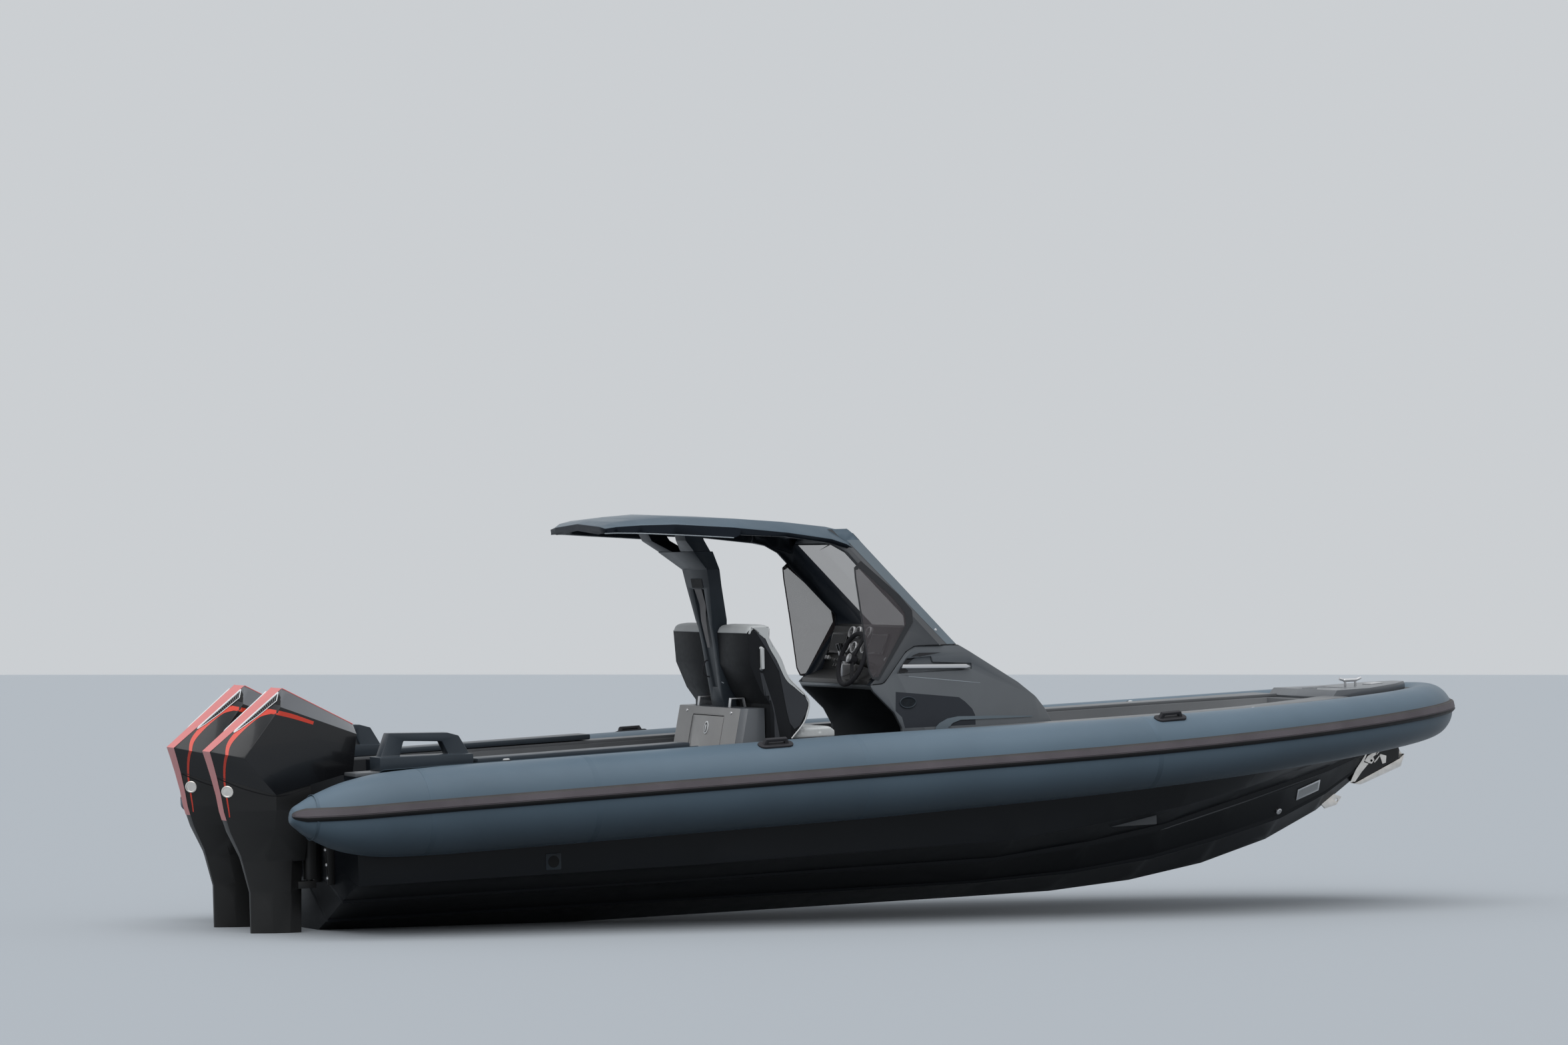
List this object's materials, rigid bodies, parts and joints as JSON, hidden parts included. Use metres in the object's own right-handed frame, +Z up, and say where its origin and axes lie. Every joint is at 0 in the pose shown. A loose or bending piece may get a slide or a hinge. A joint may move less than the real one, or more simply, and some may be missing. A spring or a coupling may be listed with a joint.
{
  "type": "rigid inflatable boat",
  "caption": "Rigid inflatable boat with a hard-top console, bucket seats and twin outboard engines that tilt and steer.",
  "frame": {"origin": "amidships on the centreline at the floating waterline", "axes": "+X to the bow, +Y to port, +Z up"},
  "size_m": [8.93, 2.6196, 2.926],
  "materials": {
    "tube_fabric": "matt coated fabric",
    "rub_strake": "matt",
    "tube_pad": "textured",
    "black_rubber": "matt",
    "hull_gelcoat": "gloss gelcoat",
    "deck_gelcoat": "satin gelcoat",
    "dark_moulding": "satin paint",
    "metallic_moulding": "metallic paint",
    "grey_moulding": "satin paint",
    "white_moulding": "gloss gelcoat",
    "polished_steel": "polished stainless",
    "black_plastic": "satin",
    "tinted_glass": "smoked acrylic",
    "seat_vinyl": "sewn vinyl",
    "cushion_vinyl": "sewn vinyl",
    "engine_gloss": "gloss black paint",
    "engine_casting": "satin black paint"
  },
  "bodies": {
    "boat": {"aft_unit": "grey_moulding", "aft_unit_rails": "polished_steel", "anchor": "polished_steel", "bow_cleat": "polished_steel", "bow_cushion": "cushion_vinyl", "bow_eye": "polished_steel", "bow_roller": "polished_steel", "bow_step": "dark_moulding", "clamp_brackets": "engine_casting", "coaming": "deck_gelcoat", "cockpit_liner": "deck_gelcoat", "console": "metallic_moulding", "console_grab_bars": "polished_steel", "dash_panel": "black_plastic", "hull": "hull_gelcoat", "pylon": "dark_moulding", "roof": "metallic_moulding", "rub_strake": "rub_strake", "seat_backrests": "seat_vinyl", "seat_pedestals": "white_moulding", "seat_shells": "black_plastic", "seat_squabs": "seat_vinyl", "side_bolsters": "dark_moulding", "side_glass": "tinted_glass", "stern_arches": "dark_moulding", "stern_bench": "deck_gelcoat", "stern_cushion": "cushion_vinyl", "throttle": "polished_steel", "tube_collar": "tube_fabric", "tube_handles": "black_rubber", "tube_pads": "tube_pad", "windscreen": "tinted_glass", "windscreen_frame": "metallic_moulding"},
    "swivel_port": {"swivel_port": "engine_casting"},
    "engine_port": {"cowl_port": "engine_gloss", "drive_leg_port": "engine_casting"},
    "propeller_port": {"propeller_port": "polished_steel"},
    "swivel_starboard": {"swivel_starboard": "engine_casting"},
    "engine_starboard": {"cowl_starboard": "engine_gloss", "drive_leg_starboard": "engine_casting"},
    "propeller_starboard": {"propeller_starboard": "polished_steel"},
    "tie_bar": {"tie_bar": "polished_steel"},
    "steering_wheel": {"steering_wheel": "black_plastic"},
    "aft_unit_door": {"aft_unit_door": "grey_moulding"},
    "anchor_locker_lid": {"anchor_locker_lid": "dark_moulding"}
  },
  "joints": [
    {"name": "tilt_starboard", "type": "hinge", "parent": "boat", "child": "swivel_starboard", "pos_m": [-3.232, -0.35, 0.348], "axis": [0, 1, 0], "range_deg": [-5, 60]},
    {"name": "steer_starboard", "type": "hinge", "parent": "swivel_starboard", "child": "engine_starboard", "pos_m": [-3.315, -0.35, 0.2], "axis": [0, 0, 1], "range_deg": [-30, 30]},
    {"name": "spin_starboard", "type": "hinge", "parent": "engine_starboard", "child": "propeller_starboard", "pos_m": [-3.819, -0.35, -0.62], "axis": [1, 0, 0], "continuous": true},
    {"name": "tilt_port", "type": "hinge", "parent": "boat", "child": "swivel_port", "pos_m": [-3.232, 0.35, 0.348], "axis": [0, 1, 0], "range_deg": [-5, 60]},
    {"name": "steer_port", "type": "hinge", "parent": "swivel_port", "child": "engine_port", "pos_m": [-3.315, 0.35, 0.2], "axis": [0, 0, 1], "range_deg": [-30, 30]},
    {"name": "spin_port", "type": "hinge", "parent": "engine_port", "child": "propeller_port", "pos_m": [-3.819, 0.35, -0.62], "axis": [1, 0, 0], "continuous": true},
    {"name": "tie_bar_pivot", "type": "hinge", "parent": "engine_starboard", "child": "tie_bar", "pos_m": [-3.18, -0.35, 0.418], "axis": [0, 0, 1], "range_deg": [-30, 30]},
    {"name": "wheel_turn", "type": "hinge", "parent": "boat", "child": "steering_wheel", "pos_m": [0.395, -0.245, 1.13], "axis": [-0.9404, 0, 0.3401], "range_deg": [-810, 810]},
    {"name": "aft_door_hinge", "type": "hinge", "parent": "boat", "child": "aft_unit_door", "pos_m": [-0.606, 0, 0.33], "axis": [0, -1, 0], "range_deg": [0, 95]},
    {"name": "locker_lid_hinge", "type": "hinge", "parent": "boat", "child": "anchor_locker_lid", "pos_m": [3.9253, 0, 0.8], "axis": [0, -1, 0], "range_deg": [0, 95]}
  ],
  "couplings": [
    {"joint": "tilt_port", "follows": "tilt_starboard", "ratio": 1},
    {"joint": "steer_port", "follows": "steer_starboard", "ratio": 1},
    {"joint": "tie_bar_pivot", "follows": "steer_starboard", "ratio": -1},
    {"joint": "wheel_turn", "follows": "steer_starboard", "ratio": 27}
  ]
}
